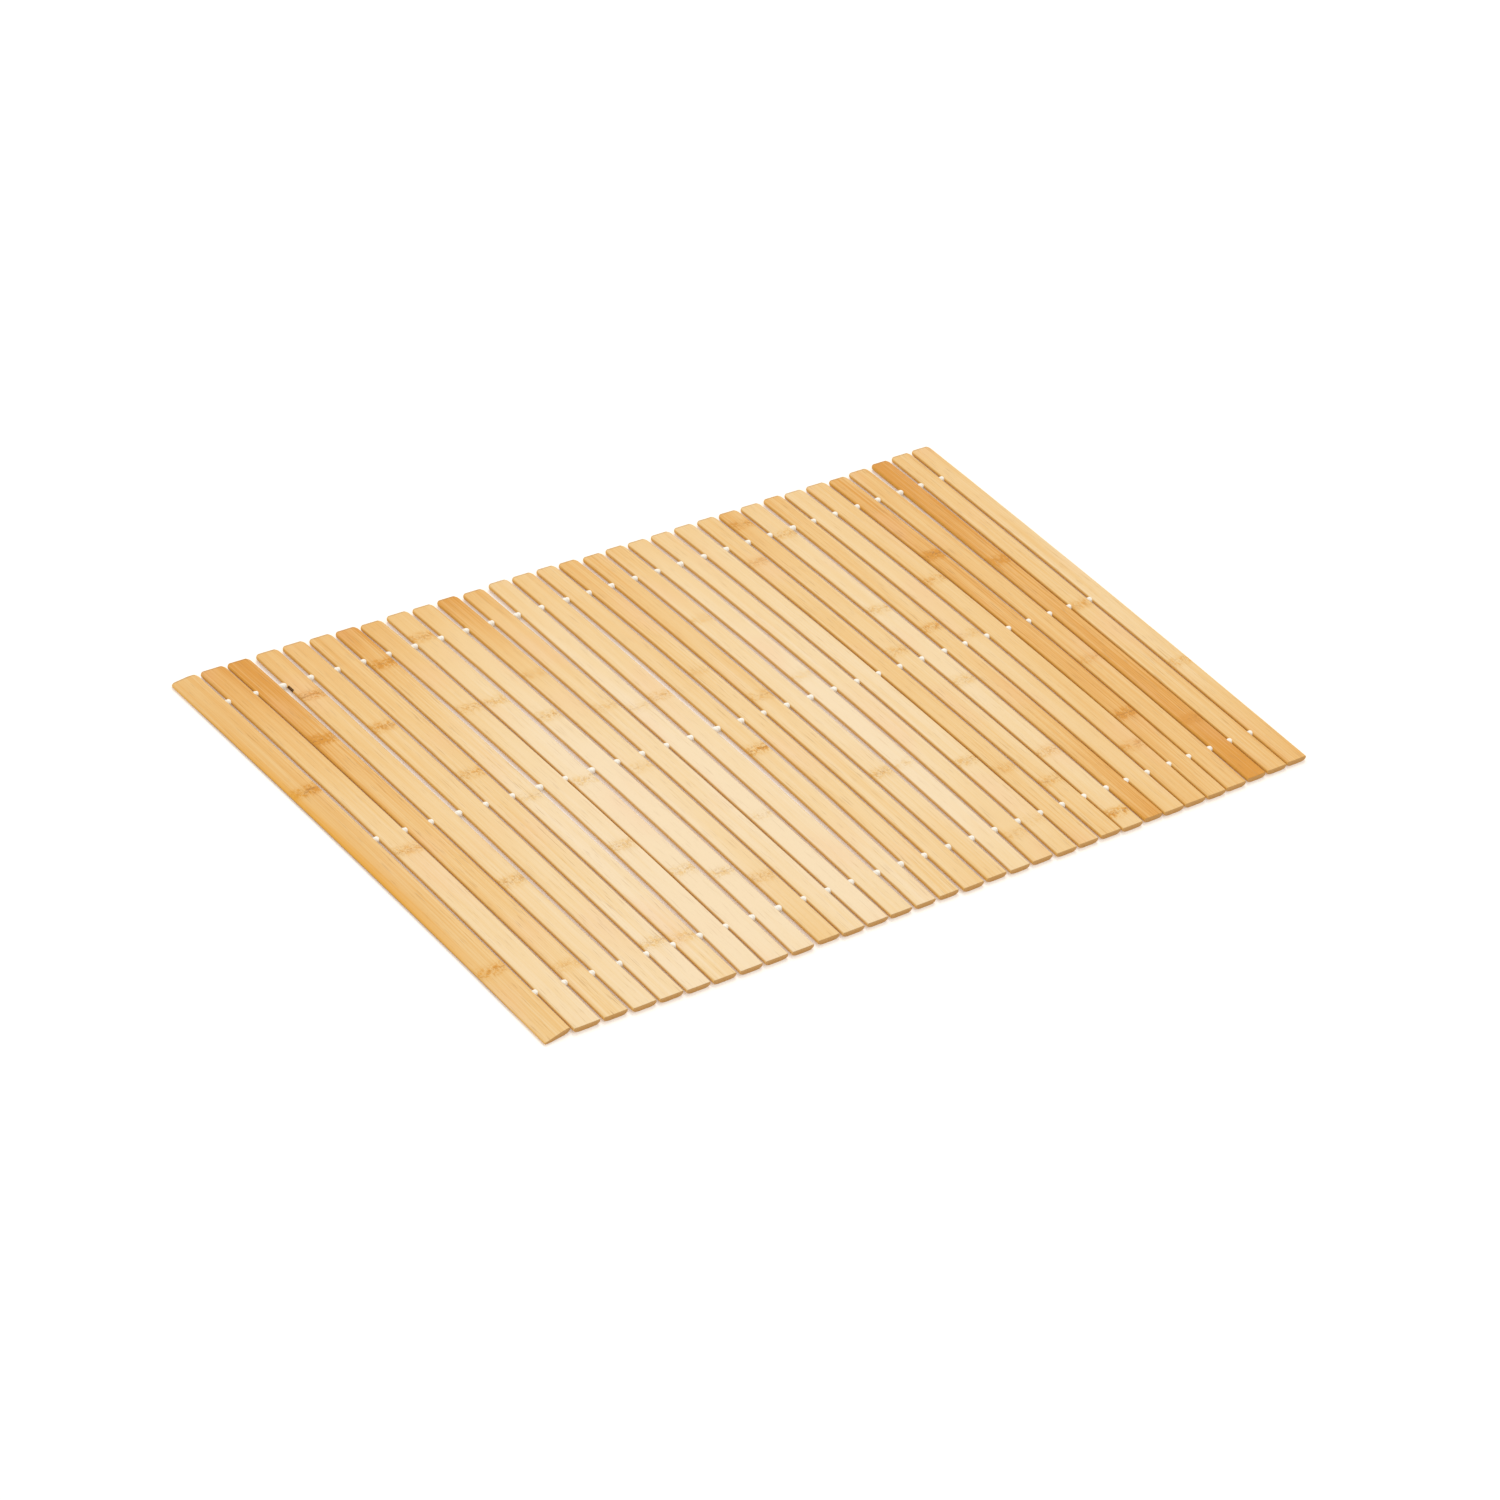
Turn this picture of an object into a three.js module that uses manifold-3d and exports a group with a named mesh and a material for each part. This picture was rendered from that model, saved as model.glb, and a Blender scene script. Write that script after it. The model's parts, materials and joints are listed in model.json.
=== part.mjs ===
// A floor mat of bamboo slats strung edge to edge on three cords, lying flat.
// X runs along the mat, Y along the slats, Z up, in millimetres. The origin is on the floor
// under the middle of the mat.
import * as THREE from 'three';
import { mergeVertices } from 'three/addons/utils/BufferGeometryUtils.js';
import Module from 'manifold-3d';

const wasm = await Module();
wasm.setup();

// Slats.
const SLAT_LENGTH = 500;
const SLAT_THICKNESS = 4.4;
const END_LINE = 230;           // distance from the middle line at which the end spaces are given
const LENGTH_GROWTH = 0.013;    // slats at the right end are this share longer, at the left shorter
const FIRST_EDGE = { far: -369, middle: -357.5, near: -349.5 };

// Each slat from left to right: its width, the space between it and the next slat at the far
// end, in the middle and at the near end, how far its two ends step out, and its tone.
const SLATS = [
  { width: 22.5, far: 2.0, middle: 2.5, near: 1.0, farStep: -2.5, nearStep: 1.0, tone: 'honey' },
  { width: 21.5, far: 1.0, middle: 1.0, near: 2.0, farStep: -1.5, nearStep: 1.0, tone: 'light' },
  { width: 20.0, far: 4.5, middle: 1.5, near: 2.0, farStep: -1.0, nearStep: 0.5, tone: 'amber' },
  { width: 20.0, far: 3.0, middle: 3.5, near: 1.5, farStep: 0.0, nearStep: 1.5, tone: 'light' },
  { width: 20.0, far: 2.5, middle: 2.0, near: 1.5, farStep: 0.5, nearStep: 1.5, tone: 'light' },
  { width: 20.0, far: 2.5, middle: 2.0, near: 1.5, farStep: -0.5, nearStep: 2.0, tone: 'honey' },
  { width: 19.5, far: 2.0, middle: 4.5, near: 2.5, farStep: -1.0, nearStep: 2.0, tone: 'honey' },
  { width: 19.5, far: 4.0, middle: 1.0, near: 1.5, farStep: -2.0, nearStep: 2.0, tone: 'pale' },
  { width: 20.0, far: 3.0, middle: 4.0, near: 2.5, farStep: -0.5, nearStep: 1.5, tone: 'pale' },
  { width: 19.0, far: 3.5, middle: 2.5, near: 3.5, farStep: -1.0, nearStep: 1.5, tone: 'pale' },
  { width: 19.5, far: 3.5, middle: 2.5, near: 1.0, farStep: 0.0, nearStep: 0.0, tone: 'light' },
  { width: 19.5, far: 5.0, middle: 1.5, near: 1.5, farStep: -1.0, nearStep: 1.0, tone: 'light' },
  { width: 19.0, far: 2.5, middle: 3.0, near: 1.5, farStep: 1.5, nearStep: 0.5, tone: 'pale' },
  { width: 20.0, far: 3.0, middle: 4.5, near: 2.5, farStep: 1.0, nearStep: 0.0, tone: 'pale' },
  { width: 18.5, far: 2.0, middle: 3.0, near: 2.5, farStep: 1.0, nearStep: 0.0, tone: 'light' },
  { width: 18.5, far: 3.5, middle: 2.0, near: 2.5, farStep: 0.0, nearStep: -0.5, tone: 'honey' },
  { width: 19.0, far: 3.0, middle: 2.5, near: 2.5, farStep: -1.5, nearStep: 0.5, tone: 'honey' },
  { width: 19.0, far: 2.5, middle: 3.5, near: 2.0, farStep: -0.5, nearStep: -0.5, tone: 'light' },
  { width: 19.0, far: 3.5, middle: 3.0, near: 2.0, farStep: -1.0, nearStep: 0.0, tone: 'pale' },
  { width: 19.5, far: 3.5, middle: 2.0, near: 2.0, farStep: -1.0, nearStep: -0.5, tone: 'light' },
  { width: 19.5, far: 3.0, middle: 1.0, near: 1.5, farStep: -0.5, nearStep: 0.5, tone: 'light' },
  { width: 19.0, far: 2.5, middle: 2.0, near: 2.0, farStep: -0.5, nearStep: 0.0, tone: 'honey' },
  { width: 19.5, far: 2.5, middle: 2.0, near: 0.5, farStep: -1.0, nearStep: -0.5, tone: 'honey' },
  { width: 20.0, far: 4.0, middle: 2.5, near: 1.5, farStep: -1.0, nearStep: 0.5, tone: 'pale' },
  { width: 18.5, far: 2.0, middle: 2.0, near: 0.5, farStep: 0.0, nearStep: -0.5, tone: 'honey' },
  { width: 19.5, far: 3.0, middle: 2.5, near: 1.0, farStep: -1.5, nearStep: 0.5, tone: 'pale' },
  { width: 20.5, far: 2.5, middle: 1.5, near: 1.0, farStep: -1.5, nearStep: 0.5, tone: 'light' },
  { width: 18.5, far: 3.5, middle: 2.0, near: 1.0, farStep: -3.0, nearStep: 1.0, tone: 'amber' },
  { width: 20.0, far: 4.5, middle: 1.5, near: 1.5, farStep: -1.5, nearStep: 0.5, tone: 'honey' },
  { width: 19.0, far: 3.0, middle: 1.0, near: 1.0, farStep: 0.0, nearStep: -0.5, tone: 'amber' },
  { width: 20.0, far: 2.0, middle: 2.0, near: 1.0, farStep: 1.0, nearStep: -0.5, tone: 'honey' },
  { width: 19.5, far: 0.0, middle: 0.0, near: 0.0, farStep: 1.0, nearStep: -1.0, tone: 'honey' },
];

// The first slat was cut beside the edge of the cane: its outer edge is thin, its near end slanted.
const THIN_EDGE = 2.3;
const LEVEL_TOP = 6;            // its top stays level this far in from its inner edge
const NEAR_SLANT = 3.5;

// The whole mat lies a little bowed, its middle slid towards the near side.
const BOW = 5;
const HALF_MAT = 350;

// Cords, drawn through holes drilled edge to edge in the slats.
const CORDS = [
  { name: 'far', row: 204 },
  { name: 'middle', row: 0 },
  { name: 'near', row: -204 },
];
const CORD_DIAMETER = 2.6;
const CORD_HEIGHT = SLAT_THICKNESS / 2;
const CORD_STEPS = 16;
const HOLE_DIAMETER = 3.44;
const BLIND_DEPTH = 5;          // the end slats are drilled from their inner edge only
const CORD_END_GAP = 0.5;       // between a cord's end and the bottom of its blind hole
const SIDES = 8;

// How the slat's long edges are rounded: distance in from the edge, height above the floor.
const TOP_ROUND = [[0.9, 0], [0.15, 0.7], [0, 1.6]];          // heights measured down from the top
const UNDER_ROUND = [[0.9, 1.1], [3.0, 0.3], [5.2, 0]];

// How the ends are rounded in plan: distance from the end, how far each long edge is drawn in.
const FAR_CORNER = [[0, 2.6], [1.2, 0.8], [3.5, 0]];
const NEAR_CORNER = [[0.8, 0], [0, 0.8]];
const INNER_RINGS = [0.25, 0.5, 0.75];

const TONES = { pale: 0xf6dcae, light: 0xf0cd95, honey: 0xe6b673, amber: 0xd89a4d };
const CORD_COLOUR = 0xf4efe4;

// Where the row of slats and the cords lie at a place along the mat, from -1 to 1.
const bowAt = (along) => BOW * along * along;
const growthAt = (along) => 1 + LENGTH_GROWTH * along;

// Places the slats side by side, from the widths and spaces, at the far, middle and near line.
function layOut() {
  const edge = { ...FIRST_EDGE };
  return SLATS.map((slat, index) => {
    const centre = {};
    for (const line of ['far', 'middle', 'near']) {
      centre[line] = edge[line] + slat.width / 2;
      edge[line] += slat.width + slat[line];
    }
    return { ...slat, index, centre, along: centre.middle / HALF_MAT };
  });
}

// The slat's centre line: a gentle curve through its far, middle and near centres.
function centreAt(slat, y) {
  const t = y / END_LINE;
  const { far, middle, near } = slat.centre;
  return middle + t * (far - near) / 2 + t * t * ((far + near) / 2 - middle);
}

// One slat's section: flat on top, rounded at both edges and more so underneath.
function slatSection(slat) {
  const half = slat.width / 2;
  const first = slat.index === 0;
  const outer = first ? THIN_EDGE : SLAT_THICKNESS;
  const flatten = outer / SLAT_THICKNESS;
  const points = [];
  for (const [inset, height] of [...UNDER_ROUND].reverse()) points.push([half - inset, height]);
  for (const [inset, drop] of [...TOP_ROUND].reverse()) points.push([half - inset, SLAT_THICKNESS - drop]);
  if (first) points.push([half - LEVEL_TOP, SLAT_THICKNESS]);
  for (const [inset, drop] of TOP_ROUND) points.push([inset - half, outer - drop * flatten]);
  for (const [inset, height] of UNDER_ROUND) points.push([inset - half, height * flatten]);
  return new THREE.Shape(points.map(([x, z]) => new THREE.Vector2(x, z)));
}

// The places along one slat where its section is set, from the far end to the near end.
function slatRings(slat) {
  const half = SLAT_LENGTH / 2 * growthAt(slat.along);
  const far = half + bowAt(slat.along) + slat.farStep;
  const near = -half + bowAt(slat.along) - slat.nearStep;
  return [
    ...FAR_CORNER.map(([from, inset]) => ({ y: far - from, inset, slant: 0 })),
    ...INNER_RINGS.map((share) => ({ y: far + (near - far) * share, inset: 0, slant: 0 })),
    ...NEAR_CORNER.map(([from, inset]) => ({ y: near + from, inset, slant: slat.index ? 0 : NEAR_SLANT })),
  ];
}

// A straight run of the section, whose rings are then moved to their places along the slat.
function slatBlank(slat) {
  const rings = slatRings(slat);
  const steps = rings.length - 1;
  const blank = new THREE.ExtrudeGeometry(slatSection(slat), { steps, depth: steps, bevelEnabled: false });
  const position = blank.attributes.position;
  for (let i = 0; i < position.count; i += 1) {
    const ring = rings[Math.round(position.getZ(i))];
    const across = position.getX(i) / slat.width;
    const x = across * (slat.width - 2 * ring.inset);
    const y = ring.y + ring.slant * across;
    position.setXYZ(i, centreAt(slat, ring.y) + x, y, position.getY(i));
  }
  return blank;
}

// A cord's line along the mat, and its slope there.
function cordAt(row, x) {
  const along = x / HALF_MAT;
  const slope = (row * LENGTH_GROWTH + 2 * BOW * along) / HALF_MAT;
  return { y: row * growthAt(along) + bowAt(along), slope };
}

// The drill that makes one hole. A blind hole starts outside the slat's inner edge.
function drill(slat, cord) {
  const last = slat.index === SLATS.length - 1;
  const blind = slat.index === 0 ? 1 : last ? -1 : 0;
  const length = blind ? 2 * BLIND_DEPTH : slat.width + 2 * BLIND_DEPTH;
  const centre = centreAt(slat, cord.row) + blind * slat.width / 2;
  const { y, slope } = cordAt(cord.row, centre);
  const radius = HOLE_DIAMETER / 2;
  const bit = new THREE.CylinderGeometry(radius, radius, length, SIDES);
  bit.rotateY(Math.PI / SIDES);
  bit.rotateZ(Math.PI / 2 + Math.atan(slope));
  bit.translate(centre, y, CORD_HEIGHT);
  return bit;
}

function toSolid(geometry) {
  const bare = geometry.index ? geometry.toNonIndexed() : geometry.clone();
  bare.deleteAttribute('normal');
  bare.deleteAttribute('uv');
  const merged = mergeVertices(bare);
  return new wasm.Manifold(new wasm.Mesh({
    numProp: 3,
    vertProperties: new Float32Array(merged.attributes.position.array),
    triVerts: new Uint32Array(merged.index.array),
  }));
}

function toGeometry(solid) {
  const { vertProperties, triVerts } = solid.getMesh();
  const geometry = new THREE.BufferGeometry();
  geometry.setAttribute('position', new THREE.BufferAttribute(vertProperties, 3));
  geometry.setIndex(new THREE.BufferAttribute(triVerts, 1));
  geometry.computeVertexNormals();
  return geometry;
}

function makeSlat(slat) {
  let solid = toSolid(slatBlank(slat));
  for (const cord of CORDS) solid = solid.subtract(toSolid(drill(slat, cord)));
  const material = new THREE.MeshStandardMaterial({ color: TONES[slat.tone], roughness: 0.55, metalness: 0 });
  const mesh = new THREE.Mesh(toGeometry(solid), material);
  mesh.name = `slat_${String(slat.index + 1).padStart(2, '0')}`;
  return mesh;
}

// A cord from inside the first slat to inside the last one, along its row of holes.
function makeCord(cord, slats) {
  const [first, last] = [slats[0], slats[slats.length - 1]];
  const inside = BLIND_DEPTH - CORD_END_GAP;
  const start = centreAt(first, cord.row) + first.width / 2 - inside;
  const end = centreAt(last, cord.row) - last.width / 2 + inside;
  const points = [];
  for (let i = 0; i <= CORD_STEPS; i += 1) {
    const x = THREE.MathUtils.lerp(start, end, i / CORD_STEPS);
    points.push(new THREE.Vector3(x, cordAt(cord.row, x).y, CORD_HEIGHT));
  }
  const section = new THREE.Shape();
  for (let i = 0; i < SIDES; i += 1) {
    const turn = (i + 0.5) * 2 * Math.PI / SIDES;
    const [x, y] = [Math.cos(turn) * CORD_DIAMETER / 2, Math.sin(turn) * CORD_DIAMETER / 2];
    if (i === 0) section.moveTo(x, y); else section.lineTo(x, y);
  }
  section.closePath();
  const extrudePath = new THREE.CatmullRomCurve3(points);
  const geometry = new THREE.ExtrudeGeometry(section, { steps: CORD_STEPS, extrudePath });
  const material = new THREE.MeshStandardMaterial({ color: CORD_COLOUR, roughness: 0.9, metalness: 0 });
  const mesh = new THREE.Mesh(toGeometry(toSolid(geometry)), material);
  mesh.name = `cord_${cord.name}`;
  return mesh;
}

const slats = layOut();
const group = new THREE.Group();
for (const slat of slats) group.add(makeSlat(slat));
for (const cord of CORDS) group.add(makeCord(cord, slats));

// The origin goes under the middle of the mat.
const middle = new THREE.Box3().setFromObject(group).getCenter(new THREE.Vector3());
group.position.set(-middle.x, -middle.y, 0);
group.updateMatrixWorld(true);

export default group;
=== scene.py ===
# %% [markdown]
# # A bamboo floor mat
# The mat is a row of thin bamboo slats, strung edge to edge on three white cords and laid flat.
# Each slat is a strip planed from a split cane: flat on top, its long edges rounded over, with
# fine fibres along it and a darker knot wherever the cane had a joint.
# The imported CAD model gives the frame: how long and wide each slat is, and where it lies.

import json
import math
from collections import namedtuple

import bmesh
import bpy
from mathutils import Matrix, Quaternion, Vector, noise


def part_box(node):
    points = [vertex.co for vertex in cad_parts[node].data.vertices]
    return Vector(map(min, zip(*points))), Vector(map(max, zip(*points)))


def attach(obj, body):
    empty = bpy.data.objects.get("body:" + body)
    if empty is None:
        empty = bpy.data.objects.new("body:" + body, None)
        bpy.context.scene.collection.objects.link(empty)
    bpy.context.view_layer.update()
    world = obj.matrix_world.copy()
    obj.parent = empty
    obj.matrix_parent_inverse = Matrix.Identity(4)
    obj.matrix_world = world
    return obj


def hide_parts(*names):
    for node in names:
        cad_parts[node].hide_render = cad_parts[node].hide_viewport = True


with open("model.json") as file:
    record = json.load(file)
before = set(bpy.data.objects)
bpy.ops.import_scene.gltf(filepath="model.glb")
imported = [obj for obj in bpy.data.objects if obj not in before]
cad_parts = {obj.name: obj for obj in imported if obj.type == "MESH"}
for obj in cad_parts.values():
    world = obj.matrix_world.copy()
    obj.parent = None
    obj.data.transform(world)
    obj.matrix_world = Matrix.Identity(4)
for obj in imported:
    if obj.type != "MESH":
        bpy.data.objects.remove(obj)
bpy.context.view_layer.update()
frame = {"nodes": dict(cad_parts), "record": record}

MM = 0.001
SLAT_NAMES = sorted(name for name in frame["nodes"] if name.startswith("slat_"))
CORD_NAMES = sorted(name for name in frame["nodes"] if name.startswith("cord_"))
SLOT_OF = {part["node"]: part["material_slot"] for part in frame["record"]["subparts"]}
print(len(SLAT_NAMES), "slats and", len(CORD_NAMES), "cords")

# %% [markdown]
# ## Measuring the frame
# A slat isn't quite straight or square to its neighbours, so its place is measured and not
# guessed. A plane through a CAD part leaves a thin outline, whose corners say where the part
# starts and ends there. Three such cuts fix a gentle curve along it. The cut is made in a merged
# copy, because the part itself must not change.

# %% Cuts through a CAD part
SAME_CORNER = 0.001 * MM    # two corners closer than this are one


def merged_copy(name):
    """A bmesh copy of a CAD node with its loose triangles joined."""
    bm = bmesh.new()
    bm.from_mesh(frame["nodes"][name].data)
    bmesh.ops.remove_doubles(bm, verts=bm.verts, dist=SAME_CORNER)
    return bm


def cut_at(solid, axis, place):
    """Lowest and highest corner of the outline where a plane across the axis cuts the solid."""
    bm = solid.copy()
    normal = Vector((0, 0, 0))
    normal[axis] = 1
    everything = bm.verts[:] + bm.edges[:] + bm.faces[:]
    cut = bmesh.ops.bisect_plane(bm, geom=everything, plane_co=normal * place, plane_no=normal)
    points = [item.co for item in cut["geom_cut"] if isinstance(item, bmesh.types.BMVert)]
    low = Vector(min(point[i] for point in points) for i in range(3))
    high = Vector(max(point[i] for point in points) for i in range(3))
    bm.free()
    return low, high


def curve_through(places, values):
    """The parabola through three points, as a function of the place."""
    (a, b, c), (u, v, w) = places, values
    first = (v - u) / (b - a)
    second = ((w - v) / (c - b) - first) / (c - a)
    return lambda s: u + (s - a) * (first + (s - b) * second)


# %% Where each slat lies
X, Y, Z = range(3)
FAR_CUT = 3.5 * MM          # from the far end, where the rounded corner is over
NEAR_CUT = 0.8 * MM         # the same at the near end
NEAR_SLANT = 3.5 * MM       # how much the first slat's near end leans over its width
THICKNESS = 4.4 * MM

Lie = namedtuple("Lie", "name index width far near centre slant")


def measure_slat(index, name):
    """Width, ends and centre line of one slat, from three cuts across it."""
    solid = merged_copy(name)
    slant = NEAR_SLANT if index == 0 else 0.0
    low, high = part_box(name)
    far, near = high[Y], low[Y] + slant / 2
    places = (far - FAR_CUT, (far + near) / 2, near + NEAR_CUT + slant)
    cuts = [cut_at(solid, Y, place) for place in places]
    solid.free()
    middle_low, middle_high = cuts[1]
    width = middle_high[X] - middle_low[X]
    centre = curve_through(places, [(cut[0][X] + cut[1][X]) / 2 for cut in cuts])
    return Lie(name, index, width, far, near, centre, slant)


lies = [measure_slat(index, name) for index, name in enumerate(SLAT_NAMES)]
widths = [lie.width / MM for lie in lies]
print(f"slats are {min(widths):.1f} to {max(widths):.1f} mm wide")

# %% Where each cord runs
CORD_MARGIN = 2 * MM        # the outer cuts are this far from a cord's ends

Run = namedtuple("Run", "name start end row height")


def measure_cord(name):
    """Ends, line and height of one cord, from three cuts across it."""
    solid = merged_copy(name)
    low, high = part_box(name)
    places = (low[X] + CORD_MARGIN, (low[X] + high[X]) / 2, high[X] - CORD_MARGIN)
    cuts = [cut_at(solid, X, place) for place in places]
    solid.free()
    row = curve_through(places, [(cut[0][Y] + cut[1][Y]) / 2 for cut in cuts])
    middle_low, middle_high = cuts[1]
    height = (middle_low[Z] + middle_high[Z]) / 2
    return Run(name, low[X], high[X], row, height)


runs = [measure_cord(name) for name in CORD_NAMES]
for run in runs:
    print(run.name, "runs", round((run.end - run.start) / MM), "mm along the mat")

# %% [markdown]
# ## What each slat looks like
# No two slats are alike: some are cream, others honey or deep amber, and most are darker at the
# far end. That is partly the wood's own tone and partly painted light: the fall of the light and a
# broad sheen are painted into these tones. This is the one place where the photograph has to be
# read slat by slat, so a short table is clearer than any rule. A tone is a word, and a knot is its
# place along the slat in millimetres, with how strongly it shows.

# %% Tones, with painted light, and knots
TONE_AND_LIGHT = {"palest": 0.0, "pale": 0.13, "light": 0.3, "straw": 0.42, "honey": 0.56, "amber": 0.78, "deep": 1.0}

Look = namedtuple("Look", "far middle near knots")

LOOKS = [
    Look("honey", "honey", "straw", [(75, 1.0), (-167, 0.6)]),
    Look("amber", "light", "pale", [(-22, 0.6)]),
    Look("deep", "honey", "light", [(125, 1.0), (-188, 0.3)]),
    Look("honey", "light", "pale", [(179, 0.9), (-89, 0.6)]),
    Look("honey", "light", "pale", [(118, 0.7)]),
    Look("honey", "light", "palest", [(35, 0.6), (-196, 0.5)]),
    Look("amber", "pale", "pale", [(190, 0.8), (-10, 0.3), (-201, 0.4)]),
    Look("honey", "pale", "palest", [(108, 0.5), (-92, 0.5)]),
    Look("straw", "palest", "palest", [(207, 0.6), (106, 0.5), (-12, 0.5), (-138, 0.5)]),
    Look("straw", "palest", "palest", [(71, 0.6), (-153, 0.5)]),
    Look("amber", "pale", "light", [(123, 0.3), (-18, 0.3), (-172, 0.5)]),
    Look("honey", "pale", "pale", [(60, 0.3)]),
    Look("light", "palest", "palest", [(47, 0.3), (-111, 0.3)]),
    Look("straw", "pale", "pale", [(52, 0.5)]),
    Look("straw", "light", "pale", [(-42, 0.9)]),
    Look("honey", "light", "light", [(65, 0.2)]),
    Look("honey", "light", "light", [(15, 0.5)]),
    Look("straw", "pale", "light", [(125, 0.3), (-111, 0.5)]),
    Look("light", "palest", "pale", [(22, 0.3), (-110, 0.3)]),
    Look("light", "pale", "light", [(-220, 0.3)]),
    Look("light", "pale", "light", [(-130, 0.5), (-213, 0.2)]),
    Look("straw", "straw", "straw", [(172, 0.5), (-152, 0.3)]),
    Look("honey", "light", "straw", [(225, 0.5), (14, 0.5), (-181, 0.5)]),
    Look("light", "pale", "light", [(196, 0.5), (69, 0.5), (-43, 0.5), (-150, 0.5), (-237, 0.8)]),
    Look("honey", "straw", "amber", [(28, 0.6)]),
    Look("light", "light", "straw", [(6, 0.3)]),
    Look("straw", "straw", "honey", [(83, 0.5), (-176, 0.5)]),
    Look("amber", "amber", "honey", [(113, 1.0), (-140, 1.0)]),
    Look("honey", "honey", "honey", [(-67, 0.3)]),
    Look("deep", "amber", "deep", [(81, 0.6), (-170, 0.5)]),
    Look("straw", "straw", "honey", [(-3, 0.5)]),
    Look("straw", "light", "honey", [(-105, 0.5)]),
]
print(sum(len(look.knots) for look in LOOKS), "knots in", len(LOOKS), "slats")

# %% [markdown]
# ## The slats
# A real slat is split, planed and its edges rounded over. In Blender the same shape is a
# section, a rectangle with rounded corners, drawn along the slat ring by ring. The rounding is
# an ellipse, small on top and wide underneath, and a bevel gives circles, so the section is
# squeezed first, bevelled, and stretched back. At the ends the rings close in to round the rim.

# %% The section
TOP_ROUND = (1.5 * MM, 1.55 * MM)       # across and down
UNDER_ROUND = (5.2 * MM, 2.7 * MM)      # across and up
TOP_STEPS = 5
UNDER_STEPS = 6
THIN_EDGE = 2.3 * MM                    # outer edge of the first slat
LEVEL_TOP = 6 * MM                      # its top is level this far in from its inner edge
ON_FLOOR = 0.01 * MM                    # a corner below this stands on the floor
LEVEL_LEAST = 5 * MM                    # a longer edge is the level top or underside
LEVEL_CUTS = 7


def round_corners(bm, corners, across, down, steps):
    """Rounds flat corners to a quarter of an ellipse: squeezed, bevelled and stretched back."""
    squeeze = Matrix.Diagonal((1, 1, across / down))
    bmesh.ops.transform(bm, matrix=squeeze.to_4x4(), verts=bm.verts)
    bmesh.ops.bevel(bm, geom=corners, offset=across, offset_type="OFFSET", affect="VERTICES",
                    segments=steps, profile=0.5, material=-1)
    bmesh.ops.transform(bm, matrix=squeeze.inverted().to_4x4(), verts=bm.verts)


def draw_section(bm, width):
    """The slat's cross-section as a loop of edges across X and Z, standing on the floor."""
    # A grid of size 0.5 is a square of size one, because the size is half a side.
    square = bmesh.ops.create_grid(bm, x_segments=1, y_segments=1, size=0.5)["verts"]
    upright = Matrix.Rotation(math.radians(90), 4, "X")
    size = Matrix.Diagonal((width, 1, THICKNESS, 1))
    lift = Matrix.Translation((0, 0, THICKNESS / 2))
    bmesh.ops.transform(bm, matrix=lift @ size @ upright, verts=square)
    top = [vert for vert in bm.verts if vert.co.z > THICKNESS / 2]
    round_corners(bm, top, *TOP_ROUND, TOP_STEPS)
    under = [vert for vert in bm.verts if vert.co.z < ON_FLOOR]
    round_corners(bm, under, *UNDER_ROUND, UNDER_STEPS)
    bmesh.ops.delete(bm, geom=bm.faces[:], context="FACES_ONLY")
    level = [edge for edge in bm.edges if edge.calc_length() > LEVEL_LEAST]
    bmesh.ops.subdivide_edges(bm, edges=level, cuts=LEVEL_CUTS)
    return bm.edges[:]


trial = bmesh.new()
draw_section(trial, lies[0].width)
print("a section has", len(trial.verts), "corners")
trial.free()

# %% [markdown]
# ## Drawing the section out
# The far ends are sanded soft in plan and over the rim. The near ends are sawn and only just
# eased. Between them the rings stand every few millimetres, plus one at each knot, so that the
# edges can waver a little as split bamboo does and each knot can swell.

# %% The rings
Ease = namedtuple("Ease", "corner_along corner_across rim steps")
FAR_EASE = Ease(4.6 * MM, 3.5 * MM, 0.7 * MM, (0, 0.05, 0.2, 0.45, 0.75, 1.2, 1.8, 2.6, 3.5, 4.6, 7))
NEAR_EASE = Ease(0.8 * MM, 0.8 * MM, 0.3 * MM, (0, 0.03, 0.1, 0.2, 0.35, 0.55, 0.8, 2))
RING_STEP = 9 * MM
RING_CLEAR = 2 * MM         # rings are never closer than this between the ends
KNOT_SWELL = 0.16 * MM      # of the top at a strong knot
KNOT_REACH = 5 * MM         # both ways along the slat
WAVER = 0.16 * MM           # of the edges
WAVER_PITCH = 23            # spots of noise per metre along them
UNEVEN = 0.07 * MM          # of the top
UNEVEN_PITCH = (70, 30)     # spots per metre across and along it
SIDES_APART = 5             # steps in the noise, so that no two edges or tops waver alike
EDGES_APART = 3.7
TOPS_APART = 1.9

Ring = namedtuple("Ring", "y inset rim lean")


def quarter(distance, along, across):
    """How far a rounded corner still stands in, at a distance from the end."""
    short = max(0.0, 1 - distance / along)
    return across * (1 - math.sqrt(1 - short * short))


def ease_ring(ease, distance, y, lean):
    """The ring at a distance from one end."""
    inset = quarter(distance, ease.corner_along, ease.corner_across)
    rim = quarter(distance, ease.rim, ease.rim)
    return Ring(y, inset + rim, rim, lean)


def rings_of(lie, look):
    """All rings of a slat, from the far end to the near end."""
    far_rings = [ease_ring(FAR_EASE, step * MM, lie.far - step * MM, 0) for step in FAR_EASE.steps]
    near_rings = [ease_ring(NEAR_EASE, step * MM, lie.near + step * MM, lie.slant)
                  for step in NEAR_EASE.steps]
    start, end = far_rings[-1].y, near_rings[-1].y + lie.slant
    knots = [place * MM for place, _ in look.knots]
    count = round((start - end) / RING_STEP)
    between = [start + (end - start) * step / count for step in range(1, count)]
    between = [y for y in between if all(abs(y - knot) > RING_CLEAR for knot in knots)]
    between += [knot for knot in knots if end + RING_CLEAR < knot < start - RING_CLEAR]
    return far_rings + [Ring(y, 0, 0, 0) for y in sorted(between, reverse=True)] + near_rings[::-1]


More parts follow.
